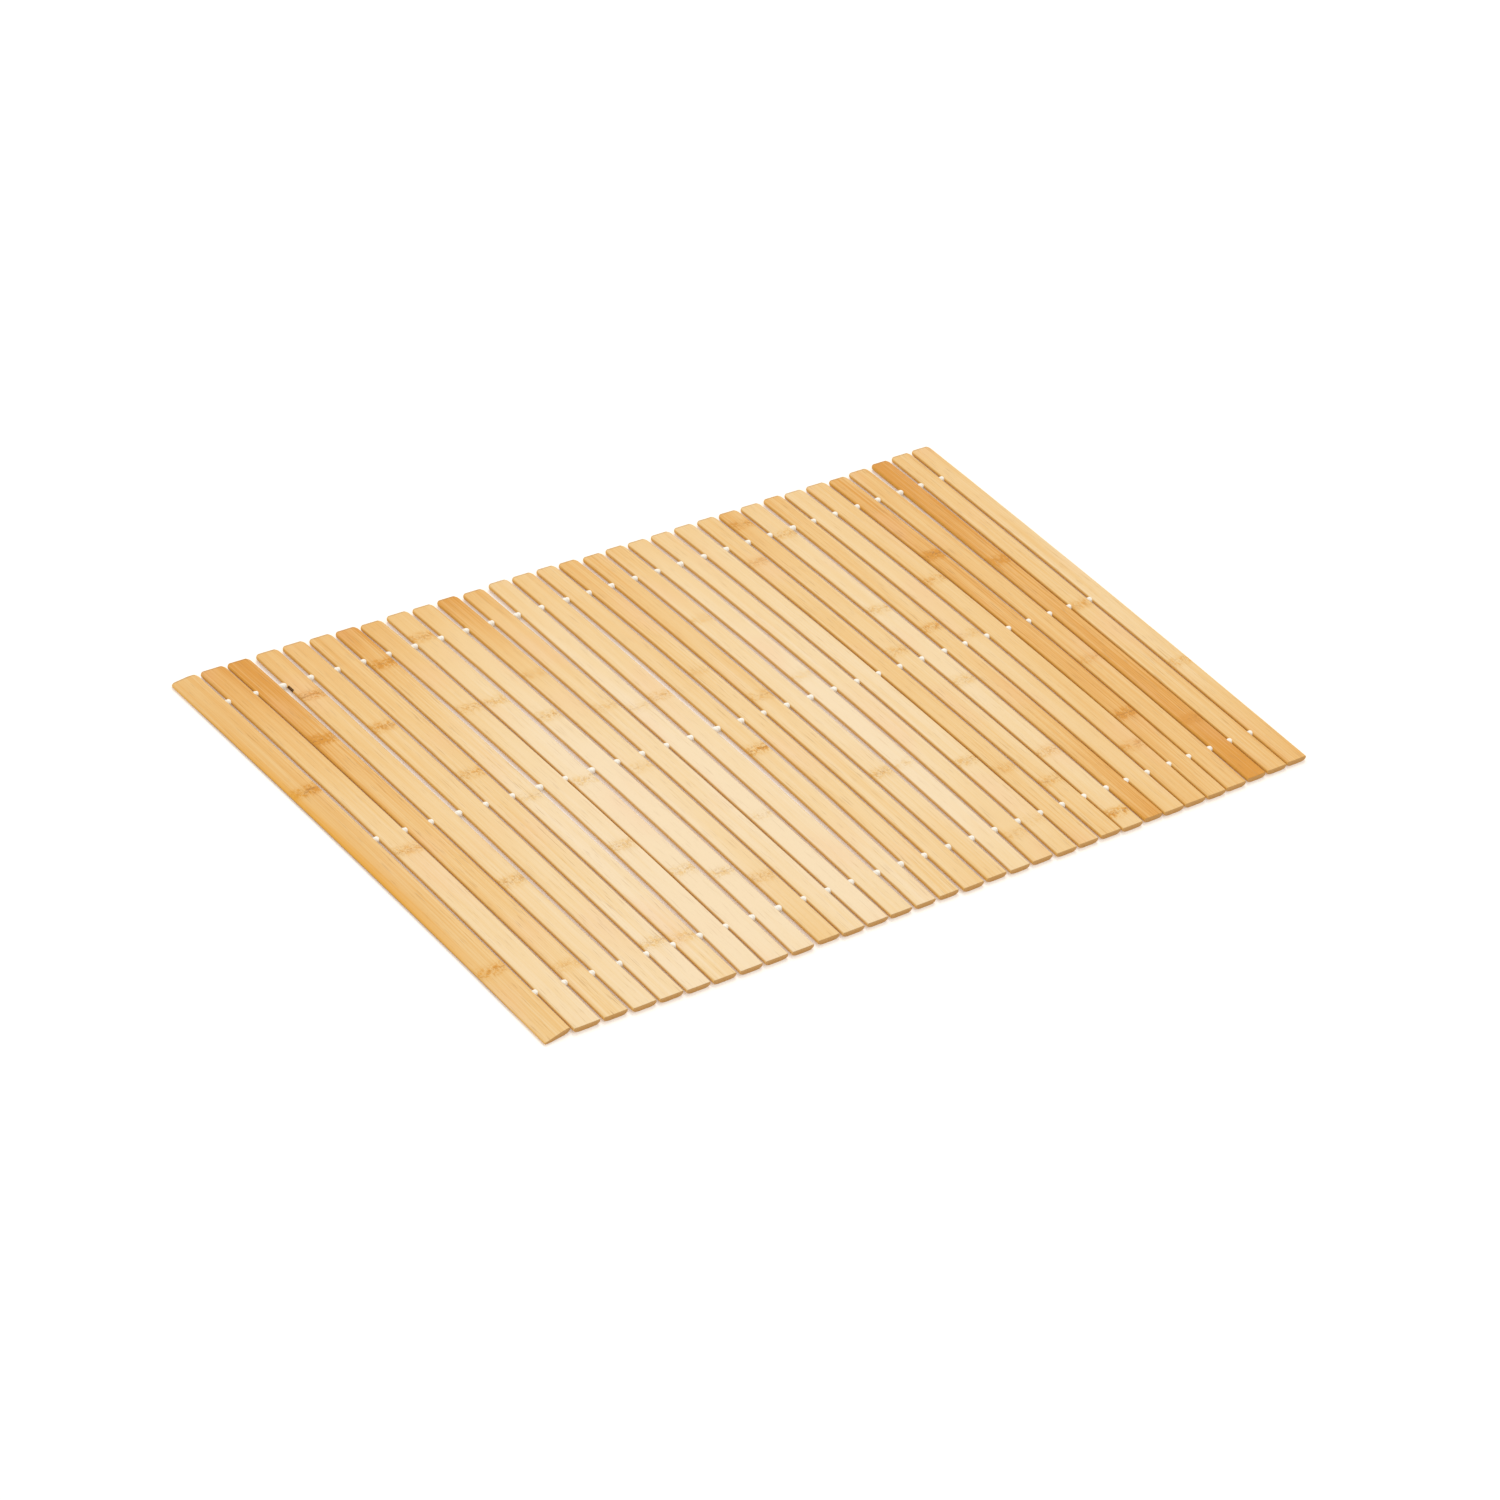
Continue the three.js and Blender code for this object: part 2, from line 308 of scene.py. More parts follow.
def thinning(across, lie):
    """How much lower the top lies: only the first slat thins, towards its outer edge."""
    if lie.index > 0:
        return 0.0
    outer = (lie.width / 2 - LEVEL_TOP - across) / (lie.width - LEVEL_TOP)
    return max(0.0, outer) * (THICKNESS - THIN_EDGE)


def place_on_ring(point, ring, lie, look):
    """Where a point of the section goes on one ring."""
    across, _, height = point
    height *= 1 - thinning(across, lie) / THICKNESS
    top = height / THICKNESS
    swell = sum(strength * max(0, 1 - (abs(ring.y - place * MM) / KNOT_REACH) ** 2)
                for place, strength in look.knots)
    side = math.copysign(1, across)
    waver = noise.noise(Vector((ring.y * WAVER_PITCH, side * SIDES_APART, lie.index * EDGES_APART)))
    spot = (across * UNEVEN_PITCH[0], ring.y * UNEVEN_PITCH[1], lie.index * TOPS_APART)
    uneven = noise.noise(Vector(spot))
    share = across / lie.width
    x = share * (lie.width - 2 * ring.inset) + side * WAVER * waver * min(1, abs(share) * 2)
    z = THICKNESS / 2 + (height - THICKNESS / 2) * (1 - 2 * ring.rim / THICKNESS)
    z += top * (UNEVEN * uneven + KNOT_SWELL * swell * (1 - abs(share)))
    return Vector((lie.centre(ring.y) + x, ring.y + ring.lean * share, z))


# %% One slat
def build_slat(lie, look):
    """A slat without its holes, as a bmesh."""
    bm = bmesh.new()
    loop = draw_section(bm, lie.width)
    section = bm.verts.layers.float_vector.new("section")
    for vert in bm.verts:
        vert[section] = vert.co
    first = loop
    rings = rings_of(lie, look)
    verts = bm.verts[:]
    for number, ring in enumerate(rings):
        if number:
            grown = bmesh.ops.extrude_edge_only(bm, edges=loop)["geom"]
            verts = [item for item in grown if isinstance(item, bmesh.types.BMVert)]
            fresh = set(verts)
            loop = [item for item in grown
                    if isinstance(item, bmesh.types.BMEdge) and fresh.issuperset(item.verts)]
        for vert in verts:
            vert.co = place_on_ring(vert[section], ring, lie, look)
    bmesh.ops.contextual_create(bm, geom=first)
    bmesh.ops.contextual_create(bm, geom=loop)
    bmesh.ops.recalc_face_normals(bm, faces=bm.faces)
    bm.verts.layers.float_vector.remove(section)
    return bm


def as_object(bm, name):
    """A new object from a bmesh, which is freed."""
    mesh = bpy.data.meshes.new(name)
    bm.to_mesh(mesh)
    bm.free()
    made = bpy.data.objects.new(name, mesh)
    bpy.context.scene.collection.objects.link(made)
    return made


slats = [as_object(build_slat(lie, look), f"bamboo_{lie.name}") for lie, look in zip(lies, LOOKS)]
print(sum(len(slat.data.polygons) for slat in slats), "faces in the slats")

# %% [markdown]
# ## Drilling
# Three holes go through each slat from edge to edge, and the cord comes out of one and into the
# next. A drill is a cylinder that lies along the cord's line, and a Boolean modifier takes it
# out. The outermost slats are drilled from their inner edge only, since no hole shows outside.
# One slat has also lost a splinter from its left edge beside the far cord. A small box has its
# shape and joins that slat's drills, so that the same modifier takes it out.

# %% The holes
HOLE_RADIUS = 1.72 * MM
BLIND_DEPTH = 5 * MM
DRILL_SIDES = 24

CHIP_SLAT = "slat_04"
CHIP_AWAY = 6.8 * MM        # from the far cord
CHIP_SIZE = Vector((2.6 * MM, 7.5 * MM, 5.2 * MM))   # half its width and height are in the slat
CHIP_TURN = math.radians(4)
CHIP_WALLS = 0.51           # a cube of size one ends at 0.5, so its walls lie within this


def chip_place(lie):
    """Turns a cube of size one into the splinter that is missing from a slat's left edge."""
    y = runs[0].row(lie.centre(0)) - CHIP_AWAY
    place = Matrix.Translation((lie.centre(y) - lie.width / 2, y, THICKNESS))
    return place @ Matrix.Rotation(CHIP_TURN, 4, "Z") @ Matrix.Diagonal((*CHIP_SIZE, 1))


def add_drill(bm, lie, run):
    """One drill for one hole, added to the bmesh."""
    blind = {0: 1, len(lies) - 1: -1}.get(lie.index, 0)
    centre = lie.centre(run.row(0)) + blind * lie.width / 2
    depth = 2 * BLIND_DEPTH if blind else lie.width + 2 * BLIND_DEPTH
    slope = math.atan((run.row(centre + MM) - run.row(centre - MM)) / (2 * MM))
    place = Matrix.Translation((centre, run.row(centre), run.height))
    turn = Matrix.Rotation(slope, 4, "Z") @ Matrix.Rotation(math.radians(90), 4, "Y")
    bmesh.ops.create_cone(bm, cap_ends=True, segments=DRILL_SIDES, radius1=HOLE_RADIUS,
                          radius2=HOLE_RADIUS, depth=depth, matrix=place @ turn)


def drill_slats():
    """Takes the holes and the splinter out of the slats, and applies the modifiers."""
    drills = []
    for lie, slat in zip(lies, slats):
        bm = bmesh.new()
        for run in runs:
            add_drill(bm, lie, run)
        if lie.name == CHIP_SLAT:
            bmesh.ops.create_cube(bm, size=1, matrix=chip_place(lie))
        bmesh.ops.recalc_face_normals(bm, faces=bm.faces)
        drills.append(as_object(bm, f"drill_{lie.name}"))
        hole = slat.modifiers.new("holes", "BOOLEAN")
        hole.operation, hole.solver, hole.object = "DIFFERENCE", "EXACT", drills[-1]
    graph = bpy.context.evaluated_depsgraph_get()
    for slat in slats:
        drilled = bpy.data.meshes.new_from_object(slat.evaluated_get(graph))
        slat.modifiers.clear()
        slat.data = drilled
    for drill in drills:
        bpy.data.objects.remove(drill)


drill_slats()
print(sum(len(slat.data.polygons) for slat in slats), "faces with the holes")

# %% [markdown]
# ## What the finish needs to know
# Grain runs along each slat, which lies a little askew and curved. Object coordinates would run
# straight past it, so every vertex stores its place within its own strip: across, along, and
# height, with the strips set far apart so that no two share a pattern. A second vector says how
# far the nearest knot is, how strong it is, and how deep the colour is there, which is partly the
# wood's tone and partly painted light along the slat. A third says how deep down the side a point
# lies and how close to the far rim, both of which get painted shade, and how much cane skin is
# left on it. The sawn ends and the walls of the missing splinter, which get dark painted shade,
# are marked face by face. All this is worked out after the drilling, because a Boolean makes new
# vertices.

# %% Attributes
STRIP_APART = 0.5
KNOT_RANGE = 12 * MM
SMOOTH_BELOW = math.radians(32)
TONE_AND_LIGHT_REACH = 215 * MM       # the far and near tones are this far from the middle
TONE_AND_LIGHT_LIMIT = 1.15           # as a share of that: past it the tone changes no more
# The far rim gets browner painted shade within this distance of the end.
FAR_RIM_SHADE = 2 * MM
SKIN_WIDTH = 12 * MM        # of the orange skin left along the outer edge of the first slat
SKIN_REACH = 225 * MM       # both ways from the middle of the slat
SAWN_FACING = 0.8           # a face that looks along the slat more squarely is at its end
ATTRIBUTES = [
    ("strip", "FLOAT_VECTOR", "POINT"),
    ("knot", "FLOAT_VECTOR", "POINT"),
    ("edge", "FLOAT_VECTOR", "POINT"),
    ("sawn", "FLOAT", "FACE"),
    ("chip", "FLOAT", "FACE"),
]


def knot_at(y, look):
    """How far the nearest knot is, as a share of a knot's range, and its strength."""
    place, strength = min(look.knots, key=lambda knot: abs(y - knot[0] * MM))
    return min(1, abs(y - place * MM) / KNOT_RANGE), strength


def tone_and_light_at(y, look):
    """How deep the colour is along a slat, through its three words: partly the wood's own colour, partly
    painted light and sheen.
    """
    near, middle, far = TONE_AND_LIGHT[look.near], TONE_AND_LIGHT[look.middle], TONE_AND_LIGHT[look.far]
    t = max(-TONE_AND_LIGHT_LIMIT, min(TONE_AND_LIGHT_LIMIT, y / TONE_AND_LIGHT_REACH))
    return middle + t * (far - near) / 2 + t * t * ((far + near) / 2 - middle)


def edge_at(across, y, z, lie):
    """Depth down the side and nearness to the far rim, from 0 to 1, and how much skin is left."""
    depth = 1 - z / (THICKNESS - thinning(across, lie))
    rim = 1 - (lie.far - y) / FAR_RIM_SHADE
    skin = 0.0
    if lie.index == 0:
        inward = (across + lie.width / 2) / SKIN_WIDTH
        skin = max(0, 1 - inward) * max(0, 1 - (y / SKIN_REACH) ** 2)
    return max(0, depth), max(0, rim), skin


def write_attributes(slat, lie, look):
    """Stores strip, knot and edge on every vertex, and marks the sawn ends and the splinter walls, which
    get painted shade.
    """
    mesh = slat.data
    for name, kind, domain in ATTRIBUTES:
        mesh.attributes.new(name, kind, domain)
    strip, knot, edge, sawn, chip = (mesh.attributes[name] for name, _, _ in ATTRIBUTES)
    for number, vert in enumerate(mesh.vertices):
        x, y, z = vert.co
        across = x - lie.centre(y)
        strip.data[number].vector = (across, y, z + STRIP_APART * (lie.index + 1))
        knot.data[number].vector = (*knot_at(y, look), tone_and_light_at(y, look))
        edge.data[number].vector = edge_at(across, y, z, lie)
    to_chip = chip_place(lie).inverted()
    for number, face in enumerate(mesh.polygons):
        sawn.data[number].value = float(abs(face.normal.y) > SAWN_FACING)
        in_chip = max(abs(part) for part in to_chip @ face.center) < CHIP_WALLS
        chip.data[number].value = float(in_chip and lie.name == CHIP_SLAT)
        face.use_smooth = True
    mesh.set_sharp_from_angle(angle=SMOOTH_BELOW)


for slat, lie, look in zip(slats, lies, LOOKS):
    write_attributes(slat, lie, look)
print("attributes:", [item.name for item in slats[0].data.attributes])

# %% [markdown]
# ## The cords
# Each cord is a soft white twisted string that shows only in the spaces, where it swells into a
# small bead between two slats and laps over their rounded edges. It could be a bevelled curve,
# but a twisted section shows its strands: a circle is pressed into three lobes and screwed along
# the cord's line, then bent onto it.

# %% One cord
CORD_RADIUS = 1.5 * MM
STRANDS = 3
STRAND_DEPTH = 0.08         # of the radius, between two strands
CORD_SIDES = 24
TWIST = 8 * MM              # one full turn
TURN_STEPS = 14
SWELL = 1.35 * MM           # of the bead in each space
BEAD_LAP = 1.1 * MM         # how far a bead laps over the slats beside it
BEAD_LEAST = 2.3 * MM       # half the length of the shortest bead
BEAD_POWER = 4              # 2 makes a bead round, and more makes it fuller
FLOOR_CLEAR = 0.1 * MM
TURNS_MEET = 0.01 * MM      # the corners where two turns meet are closer than this


def spaces_along(run):
    """The space between each two slats on a cord's line: middle and width."""
    spaces = []
    for left, right in zip(lies, lies[1:]):
        y = run.row(left.centre(run.row(0)) + left.width / 2)
        start, end = left.centre(y) + left.width / 2, right.centre(y) - right.width / 2
        spaces.append(((start + end) / 2, end - start))
    return spaces


def swell_at(x, spaces):
    """How much the cord swells at a place: only in and just beside a space."""
    middle, width = min(spaces, key=lambda space: abs(x - space[0]))
    away = (x - middle) / max(BEAD_LEAST, width / 2 + BEAD_LAP)
    return SWELL * max(0.0, 1 - away ** BEAD_POWER)


def build_cord(run):
    """A twisted cord along its row of holes, as a bmesh."""
    bm = bmesh.new()
    across = Matrix.Rotation(math.radians(90), 4, "Y")
    ring = bmesh.ops.create_circle(bm, segments=CORD_SIDES, radius=CORD_RADIUS, matrix=across)["verts"]
    for vert in ring:
        lobe = math.cos(STRANDS * math.atan2(vert.co.z, vert.co.y))
        vert.co *= 1 - STRAND_DEPTH * (1 - lobe) / 2
    turns = round((run.end - run.start) / TWIST)
    turn = (run.end - run.start) / turns
    bmesh.ops.spin(bm, geom=ring + bm.edges[:], cent=(0, 0, 0), axis=(1, 0, 0), angle=math.tau,
                   dvec=(turn / TURN_STEPS, 0, 0), steps=TURN_STEPS, use_merge=False)
    one_turn = bm.verts[:] + bm.edges[:] + bm.faces[:]
    for number in range(1, turns):
        copied = bmesh.ops.duplicate(bm, geom=one_turn)["geom"]
        moved = [item for item in copied if isinstance(item, bmesh.types.BMVert)]
        bmesh.ops.translate(bm, vec=(number * turn, 0, 0), verts=moved)
    bmesh.ops.remove_doubles(bm, verts=bm.verts, dist=TURNS_MEET)
    open_ends = [edge for edge in bm.edges if edge.is_boundary]
    bmesh.ops.holes_fill(bm, edges=open_ends, sides=CORD_SIDES)
    bmesh.ops.recalc_face_normals(bm, faces=bm.faces)
    spaces = spaces_along(run)
    for vert in bm.verts:
        x = run.start + vert.co.x
        grow = 1 + swell_at(x, spaces) / CORD_RADIUS
        height = max(FLOOR_CLEAR, run.height + vert.co.z * grow)
        vert.co = Vector((x, run.row(x) + vert.co.y * grow, height))
    return bm


cords = []
for run in runs:
    cord = as_object(build_cord(run), f"twisted_{run.name}")
    for face in cord.data.polygons:
        face.use_smooth = True
    cords.append(cord)
print("cord faces:", [len(cord.data.polygons) for cord in cords])

# %% [markdown]
# ## A small kit for finishes
# A finish is a web of nodes, and most of it is sums. Wrapping a socket in a class that knows
# plus, minus and times lets a formula read as a formula, and each sign adds its Math node. A
# pattern is noise, stretched by its scale in spots per metre across, along and down. Where only
# its highest spots are to show, low and high say where they fade in.

# %% Signals
Pattern = namedtuple("Pattern", "scale detail roughness distortion low high",
                     defaults=(2.0, 0.5, 0.0, 0.0, 1.0))
MIX_SHARE, MIX_FIRST, MIX_SECOND, MIX_RESULT = 0, 6, 7, 2       # a Mix node's sockets for colours


class Signal:
    """One output of a finish's nodes; sums with it add Math nodes."""

    def __init__(self, finish, socket):
        self.finish = finish
        self.socket = socket

    def math(self, operation, first, second):
        return self.finish.add("ShaderNodeMath", {"operation": operation}, {0: first, 1: second})

    def __add__(self, other):
        return self.math("ADD", self, other)

    def __sub__(self, other):
        return self.math("SUBTRACT", self, other)

    def __rsub__(self, other):
        return self.math("SUBTRACT", other, self)

    def __mul__(self, other):
        return self.math("MULTIPLY", self, other)

    def size(self):
        """The number without its sign."""
        return self.math("MAXIMUM", self, self * -1)

    __radd__ = __add__
    __rmul__ = __mul__


print("a pattern has", Pattern._fields)


# %% Finishes
class Finish:
    """A material made of nodes round one Principled shader."""

    def __init__(self, name, **constants):
        self.material = bpy.data.materials.new(name)
        self.material.use_nodes = True
        self.nodes = self.material.node_tree.nodes
        self.shader = self.nodes["Principled BSDF"]
        for socket, value in constants.items():
            self.put(self.shader.inputs[socket.replace("_", " ")], value)

    def put(self, socket, value):
        """Links a signal to a socket, or sets a constant on it."""
        if isinstance(value, Signal):
            self.material.node_tree.links.new(value.socket, socket)
        else:
            socket.default_value = value

    def add(self, kind, settings, inputs, output=0):
        """A node of some kind, its settings first, then its sockets; gives one output."""
        node = self.nodes.new(kind)
        for name, value in settings.items():
            if name == "stops":
                self.set_stops(node.color_ramp, value)
            else:
                setattr(node, name, value)
        for socket, value in inputs.items():
            self.put(node.inputs[socket], value)
        return Signal(self, node.outputs[output])

    @staticmethod
    def set_stops(ramp, stops):
        """Gives a colour ramp its stops: place and colour."""
        while len(ramp.elements) < len(stops):
            ramp.elements.new(1.0)
        for element, (place, colour) in zip(ramp.elements, stops):
            element.position = place
            element.color = (*colour, 1.0)

    def attribute(self, name, output="Fac"):
        """A number stored on the mesh, or a vector if the output says so."""
        return self.add("ShaderNodeAttribute", {"attribute_name": name}, {}, output)

    def split(self, vector):
        """The three numbers of a vector."""
        parts = self.add("ShaderNodeSeparateXYZ", {}, {0: vector})
        return [Signal(self, output) for output in parts.socket.node.outputs]

    def stretched(self, vector, scale):
        """The vector with each of its numbers scaled."""
        return self.add("ShaderNodeVectorMath", {"operation": "MULTIPLY"}, {0: vector, 1: scale})

    def clouds(self, vector, pattern):
        """Soft noise from 0 to 1, round 0.5."""
        sockets = {"Vector": self.stretched(vector, pattern.scale), "Scale": 1.0, "Detail": pattern.detail,
                   "Roughness": pattern.roughness, "Distortion": pattern.distortion}
        return self.add("ShaderNodeTexNoise", {}, sockets)

    def spots(self, vector, pattern):
        """Only the highest spots of the noise."""
        return self.between(self.clouds(vector, pattern), pattern.low, pattern.high)

    def between(self, value, low, high):
        """0 up to low, 1 from high, smooth in between; turned round if low is above high."""
        if low > high:
            return 1 - self.between(value, high, low)
        settings = {"interpolation_type": "SMOOTHSTEP"}
        return self.add("ShaderNodeMapRange", settings, {"Value": value, "From Min": low, "From Max": high})

    def mix(self, share, first, second):
        """Two colours mixed: the second's share is given."""
        sockets = {MIX_SHARE: share, MIX_FIRST: first, MIX_SECOND: second}
        return self.add("ShaderNodeMix", {"data_type": "RGBA"}, sockets, MIX_RESULT)

    def coat(self, colour, relief, strength, distance):
        """Gives the shader its colour, and a relief as high as a distance in metres."""
        self.put(self.shader.inputs["Base Color"], colour)
        bump = {"Strength": strength, "Distance": distance, "Height": relief}
        self.put(self.shader.inputs["Normal"], self.add("ShaderNodeBump", {}, bump))


# %% [markdown]
# ## Bamboo
# Bamboo is a bundle of long fibres. Looking down on a planed strip there are broad soft bands
# of lighter and darker wood, thin streaks where bundles of fibres come to the surface, and short
# dark dashes. At a knot the fibres swirl and the wood is mottled and darker, with a thin broken
# line across it. All of it is noise stretched along the strip, gathered into one number, from
# pale to amber, that a ramp turns into colour.

# %% Patterns in bamboo
SWIRL = Pattern((160, 90, 60), detail=1.0)
SWIRL_PUSH = 5 * MM
BANDS = Pattern((170, 3.5, 40))
STREAKS = Pattern((800, 6, 200), detail=3.0, roughness=0.6)
FIBRES = Pattern((2400, 22, 500))
DASHES = Pattern((1300, 50, 300), detail=1.0, low=0.62, high=0.74)
BLOTCHES = Pattern((60, 14, 20))
PINK = Pattern((20, 9, 12), detail=1.0, low=0.52, high=0.75)
MOTTLE = Pattern((330, 260, 100), detail=3.0, roughness=0.6, distortion=0.6, low=0.45, high=0.62)
WRIGGLES = Pattern((300, 240, 100), distortion=1.2)
WRIGGLE_WIDTH = 0.035
LINE_WAVER = Pattern((260, 30, 60))
LINE_BREAKS = Pattern((420, 80, 100), detail=1.0, low=0.45, high=0.58)
LINE_WIDTH = 0.08           # as a share of a knot's range, and so are the next three
LINE_SWAY = 0.2
KNOT_EDGE = 0.8             # a knot's marks begin here
KNOT_CORE = 0.05            # and are full from here on
SAWN_DOTS = (1500, 0, 1500)
DOT_FADE = (0.42, 0.2)


def draw_grain(finish, strip, near_knot):
    """Bands, streaks, fibres and dashes, all pushed aside in soft swirls near a knot."""
    swirl = finish.clouds(strip, SWIRL) - 0.5
    push = finish.add("ShaderNodeCombineXYZ", {}, {"X": swirl * near_knot * SWIRL_PUSH})
    grain = finish.add("ShaderNodeVectorMath", {"operation": "ADD"}, {0: strip, 1: push})
    bands, streaks, fibres = (finish.clouds(grain, pattern) for pattern in (BANDS, STREAKS, FIBRES))
    return bands, streaks, fibres, finish.spots(grain, DASHES)


def draw_knot(finish, strip, away, strength, near_knot):
    """Fine wriggles in the mottled patch of a knot, the line across it, and that line broken."""
    ripple = (finish.clouds(strip, WRIGGLES) - 0.5).size()
    wriggles = finish.between(ripple, WRIGGLE_WIDTH, 0.0) * near_knot
    waver = finish.clouds(strip, LINE_WAVER) - 0.5
    line = finish.between(away + waver * LINE_SWAY, LINE_WIDTH, 0.0) * strength
    return wriggles, line, line * finish.spots(strip, LINE_BREAKS)


print("the finest fibres are", round(1 / FIBRES.scale[0] / MM, 2), "mm apart")

# %% Colours of bamboo
BAMBOO_STOPS = [
    (0.0, (0.77, 0.60, 0.38)),
    (0.2, (0.75, 0.54, 0.28)),
    (0.45, (0.72, 0.46, 0.18)),
    (0.7, (0.68, 0.37, 0.10)),
    (1.0, (0.60, 0.25, 0.02)),
]
PINK_TAN = (0.76, 0.45, 0.25, 1.0)
FIBRE_BROWN = (0.30, 0.13, 0.03, 1.0)
KNOT_BROWN = (0.36, 0.15, 0.03, 1.0)
SKIN_ORANGE = (0.68, 0.32, 0.03, 1.0)
# Painted shade for the sides of the slats: warm gold near the top, browner lower in the gaps.
SIDE_WARM_SHADE_GOLD = (0.68, 0.36, 0.06, 1.0)
SIDE_DEEP_SHADE_BROWN = (0.56, 0.27, 0.03, 1.0)
# Painted shade on the far rim.
RIM_SHADE_BROWN = (0.30, 0.14, 0.04, 1.0)
SAWN_TAN = (0.46, 0.25, 0.09, 1.0)
# Painted shade inside the missing splinter.
CHIP_SHADE_DARK = (0.20, 0.10, 0.03, 1.0)

Grade = namedtuple("Grade", "slot bands streaks dashes")
GRADES = [
    Grade("bamboo_pale", 0.22, 0.34, 0.35),
    Grade("bamboo_light", 0.28, 0.44, 0.45),
    Grade("bamboo_honey", 0.36, 0.62, 0.60),
    Grade("bamboo_amber", 0.44, 0.80, 0.80),
]
print("grades of bamboo:", [grade.slot for grade in GRADES])

# %% [markdown]
# ## Laying the colours
# The planed wood comes first. Then each mark is laid over it in its own colour, as a share from
# 0 to 1: pink blotches, dashes, the marks of the knots, and the orange skin left along the outer
# edge of the first slat. The sides get painted shade, warm gold at the top and browner below,
# with a dark line along that skin, and the far rim gets browner painted shade still. The walls of
# the missing splinter get dark painted shade. The sawn ends show the fibres end on as dots.

# %% The bamboo finish
STREAK_LEAST = 0.85         # how much the streaks show in the palest wood
STREAK_BY_TONE = 0.6        # and how much more in the deepest
BLOTCH_SHADE = 0.14         # the rest darken the wood by so much, from palest 0 to deepest 1
FIBRE_SHADE = 0.16
MOTTLE_SHADE = 0.65
KNOT_SHADE = 0.14
WARM_SHADE_DEPTH = (0.0, 0.14)    # where a colour starts and is full, down the side from 0 to 1
DEEP_SHADE_DEPTH = (0.18, 0.6)
DARK_DEPTH = (0.1, 0.4)
SKIN_FADE = (0.0, 0.3)
BAMBOO_GLOSS = 0.22
BAMBOO_ROUGHNESS = 0.48
BAMBOO_BUMP = 0.6
BAMBOO_RELIEF = 0.06 * MM


def bamboo(grade):
    """The finish of one grade of bamboo."""
    finish = Finish(grade.slot, Specular_IOR_Level=BAMBOO_GLOSS)
    strip = finish.attribute("strip", "Vector")
    away, strength, tone_and_light = finish.split(finish.attribute("knot", "Vector"))
    depth, rim, skin = finish.split(finish.attribute("edge", "Vector"))
    near_knot = strength * finish.between(away, KNOT_EDGE, KNOT_CORE)
    bands, streaks, fibres, dashes = draw_grain(finish, strip, near_knot)
    wriggles, line, broken_line = draw_knot(finish, strip, away, strength, near_knot)
    blotches = finish.clouds(strip, BLOTCHES)

    # One number from pale to amber. Noise lies round 0.5, which is taken off to swing both ways.
    # The tone carries painted light too: the fall of the light and a broad sheen along each slat.
    streaky = (tone_and_light * STREAK_BY_TONE + STREAK_LEAST) * grade.streaks
    shade = tone_and_light + (bands - 0.5) * grade.bands + (streaks - 0.5) * streaky
    shade = shade + (blotches - 0.5) * BLOTCH_SHADE + (fibres - 0.5) * FIBRE_SHADE
    shade = shade + near_knot * (finish.spots(strip, MOTTLE) * MOTTLE_SHADE + KNOT_SHADE)
    colour = finish.add("ShaderNodeValToRGB", {"stops": BAMBOO_STOPS}, {"Fac": shade})

    cells = {"Vector": finish.stretched(strip, SAWN_DOTS), "Scale": 1.0}
    dots = finish.between(finish.add("ShaderNodeTexVoronoi", {}, cells), *DOT_FADE)
    dark_line = finish.between(depth, *DARK_DEPTH) * finish.between(skin, *SKIN_FADE)
    layers = [
        (finish.spots(strip, PINK) * 0.25, PINK_TAN),
        (dashes * grade.dashes * 0.5, FIBRE_BROWN),
        (wriggles * 0.85, KNOT_BROWN),
        (broken_line * 0.6, KNOT_BROWN),
        (skin * (skin + streaks - 0.3), SKIN_ORANGE),
        # Painted shade down the sides: warm gold at the top, browner below.
        (finish.between(depth, *WARM_SHADE_DEPTH) * 0.75, SIDE_WARM_SHADE_GOLD),
        (finish.between(depth, *DEEP_SHADE_DEPTH) * 0.7, SIDE_DEEP_SHADE_BROWN),
        (dark_line * 0.85, KNOT_BROWN),
        # Painted shade on the far rim.
        (rim * 0.8, RIM_SHADE_BROWN),
        (finish.attribute("sawn") * 0.75, finish.mix(dots * 0.7, SAWN_TAN, FIBRE_BROWN)),
        # Painted shade: the walls of the missing splinter, nearly black.
        (finish.attribute("chip"), CHIP_SHADE_DARK),
    ]
    for share, paint in layers:
        colour = finish.mix(share, colour, paint)

    relief = streaks * 0.5 + fibres * 0.6 - dashes * 0.5 - line * 0.6
    finish.coat(colour, relief, BAMBOO_BUMP, BAMBOO_RELIEF)
    roughness = BAMBOO_ROUGHNESS + streaks * 0.14 + near_knot * 0.1
    finish.put(finish.shader.inputs["Roughness"], roughness)
    return finish.material


bamboo_finish = {grade.slot: bamboo(grade) for grade in GRADES}
for name, material in bamboo_finish.items():
    print(name, "has", len(material.node_tree.nodes), "nodes")

# %% [markdown]
# ## Cotton
# The cord is bleached cotton: nearly white and quite matt, with a fine fuzz of fibres that leaves
# it a little darker in spots.

# %% The cord finish
COTTON = (0.93, 0.88, 0.78, 1.0)
COTTON_SHADE = (0.77, 0.69, 0.56, 1.0)
FUZZ = Pattern((2500, 2500, 2500), detail=3.0, roughness=0.6)
SOFT_SPOTS = Pattern((300, 300, 300), detail=1.0)
SPOT_FADE = (0.45, 0.95)
FUZZ_BUMP = 0.5
FUZZ_RELIEF = 0.1 * MM


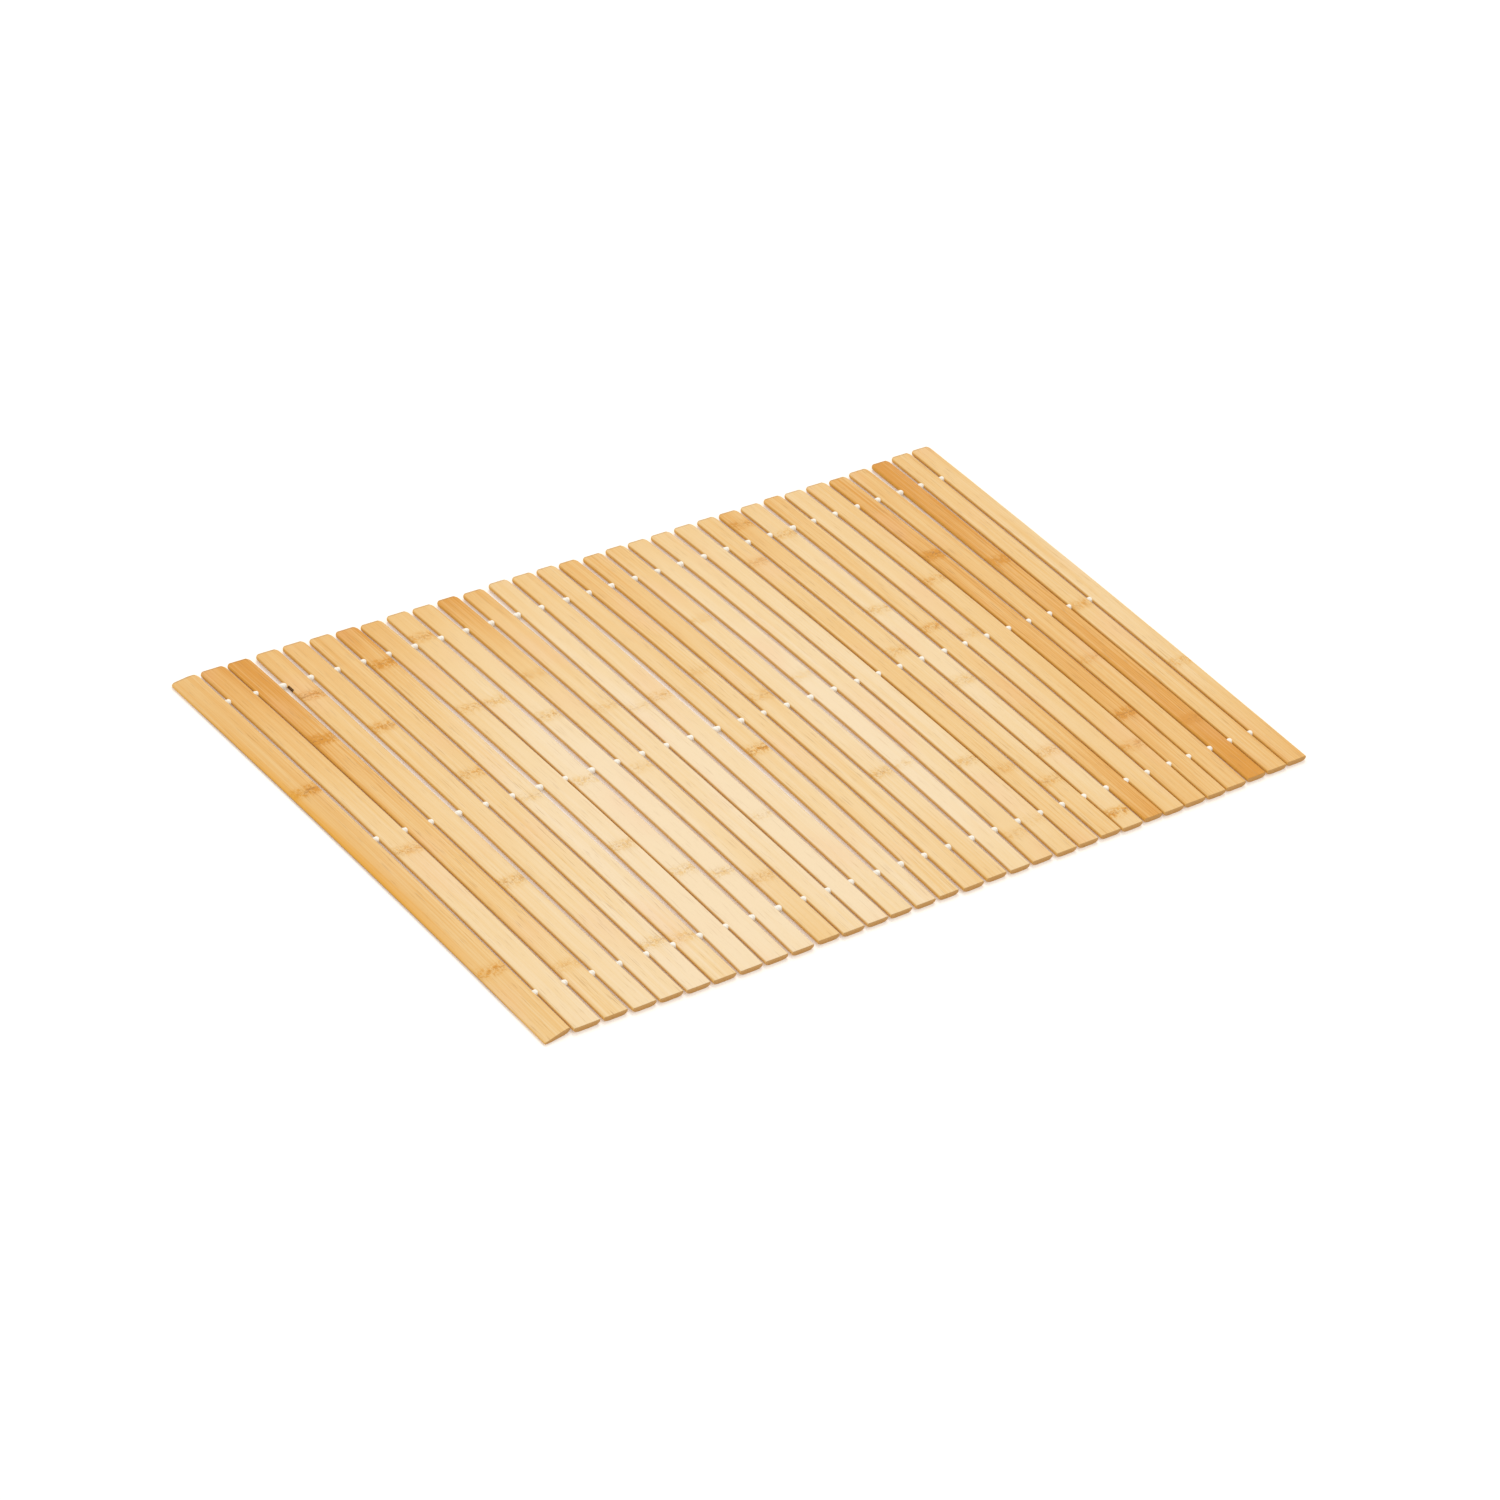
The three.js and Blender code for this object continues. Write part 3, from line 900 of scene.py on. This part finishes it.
def cotton():
    """Matt white cotton with fine fibres."""
    finish = Finish("cotton", Roughness=0.9, Specular_IOR_Level=0.2, Sheen_Weight=0.2)
    place = finish.add("ShaderNodeTexCoord", {}, {}, "Object")
    fuzz = finish.clouds(place, FUZZ)
    dark = finish.between(fuzz + finish.clouds(place, SOFT_SPOTS) * 0.4, *SPOT_FADE)
    finish.coat(finish.mix(dark * 0.6, COTTON, COTTON_SHADE), fuzz, FUZZ_BUMP, FUZZ_RELIEF)
    return finish.material


cotton_finish = cotton()
print("cotton has", len(cotton_finish.node_tree.nodes), "nodes")

# %% [markdown]
# ## Handing the pieces to the frame
# Each slat and cord takes its finish, rides on the mat's one body and stands for its CAD node.

# %% Finishes, bodies and nodes
for slat, lie in zip(slats, lies):
    slot = SLOT_OF[lie.name]
    slat.data.materials.append(bamboo_finish[slot])
    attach(slat, "root")
    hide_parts(lie.name)

for cord, run in zip(cords, runs):
    cord.data.materials.append(cotton_finish)
    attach(cord, "root")
    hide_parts(run.name)
print(len(slats) + len(cords), "pieces ride on the mat")

# %% [markdown]
# ## The studio
# The photograph is a plain product shot: a white floor, light from all round, and a soft lamp
# behind and to the right, which leaves only a faint shadow at the near ends. An area lamp would
# light the floor in a patch, so the lamp is a sun, which lights it evenly, and it is made wide
# for soft shadows. The floor also glows a little, as a light table does, to keep them faint.
# The Standard view shows the colours just as they are mixed here.

# %% Floor and light
# The floor is beige and glows warm, so that where it lies in shade between the slats it shows warm: painted
# warm light. Where it is lit, it is white.
FLOOR_WHITE = (0.80, 0.77, 0.73, 1.0)
FLOOR_LIGHT = (1.0, 0.90, 0.78, 1.0)
FLOOR_GLOW = 0.24
FLOOR_SIZE = 12.0           # half a side, in metres
SKY_WHITE = (1, 1, 1, 1)
SKY_STRENGTH = 0.95
LAMP_FROM = Vector((1.6, 2.2, 3.2))
LAMP_SPREAD = math.radians(32)      # how wide the lamp looks from the mat
LAMP_STRENGTH = 1.05

bm = bmesh.new()
bmesh.ops.create_grid(bm, x_segments=1, y_segments=1, size=FLOOR_SIZE)
floor = as_object(bm, "floor")
floor_finish = Finish("floor_white", Base_Color=FLOOR_WHITE, Roughness=0.95, Specular_IOR_Level=0.1,
                      Emission_Color=FLOOR_LIGHT, Emission_Strength=FLOOR_GLOW)
floor.data.materials.append(floor_finish.material)

scene = bpy.context.scene
scene.world = bpy.data.worlds.new("sky")
scene.world.use_nodes = True
sky = scene.world.node_tree.nodes["Background"]
sky.inputs["Color"].default_value = SKY_WHITE
sky.inputs["Strength"].default_value = SKY_STRENGTH

lamp_data = bpy.data.lights.new("lamp", "SUN")
lamp_data.angle = LAMP_SPREAD
lamp_data.energy = LAMP_STRENGTH
lamp = bpy.data.objects.new("lamp", lamp_data)
lamp.location = LAMP_FROM
lamp.rotation_euler = (-LAMP_FROM).to_track_quat("-Z", "Y").to_euler()
scene.collection.objects.link(lamp)
scene.view_settings.view_transform = "Standard"
print("lamp of strength", LAMP_STRENGTH, "and sky of", SKY_STRENGTH)

# %% [markdown]
# ## The camera
# The photograph was taken from the left and above with a long lens, tilted a few degrees. The
# place and lens come from fitting the rows of cord and the slat ends to the photograph.

# %% Camera
CAMERA_AT = Vector((-1.3785, -1.7891, 1.5552))
CAMERA_AIM = Vector((-0.0251, -0.0350, 0.0))
CAMERA_ROLL = math.radians(4.985)
CAMERA_LENS = 87.18
SENSOR = 36.0

camera_data = bpy.data.cameras.new("camera")
camera_data.lens = CAMERA_LENS
camera_data.sensor_width = SENSOR
camera = bpy.data.objects.new("camera", camera_data)
camera.location = CAMERA_AT
aim = (CAMERA_AIM - CAMERA_AT).to_track_quat("-Z", "Y")
camera.rotation_euler = (aim @ Quaternion((0, 0, 1), CAMERA_ROLL)).to_euler()
scene.collection.objects.link(camera)
scene.camera = camera
print("camera", round(CAMERA_AT.length, 2), "m from the mat")
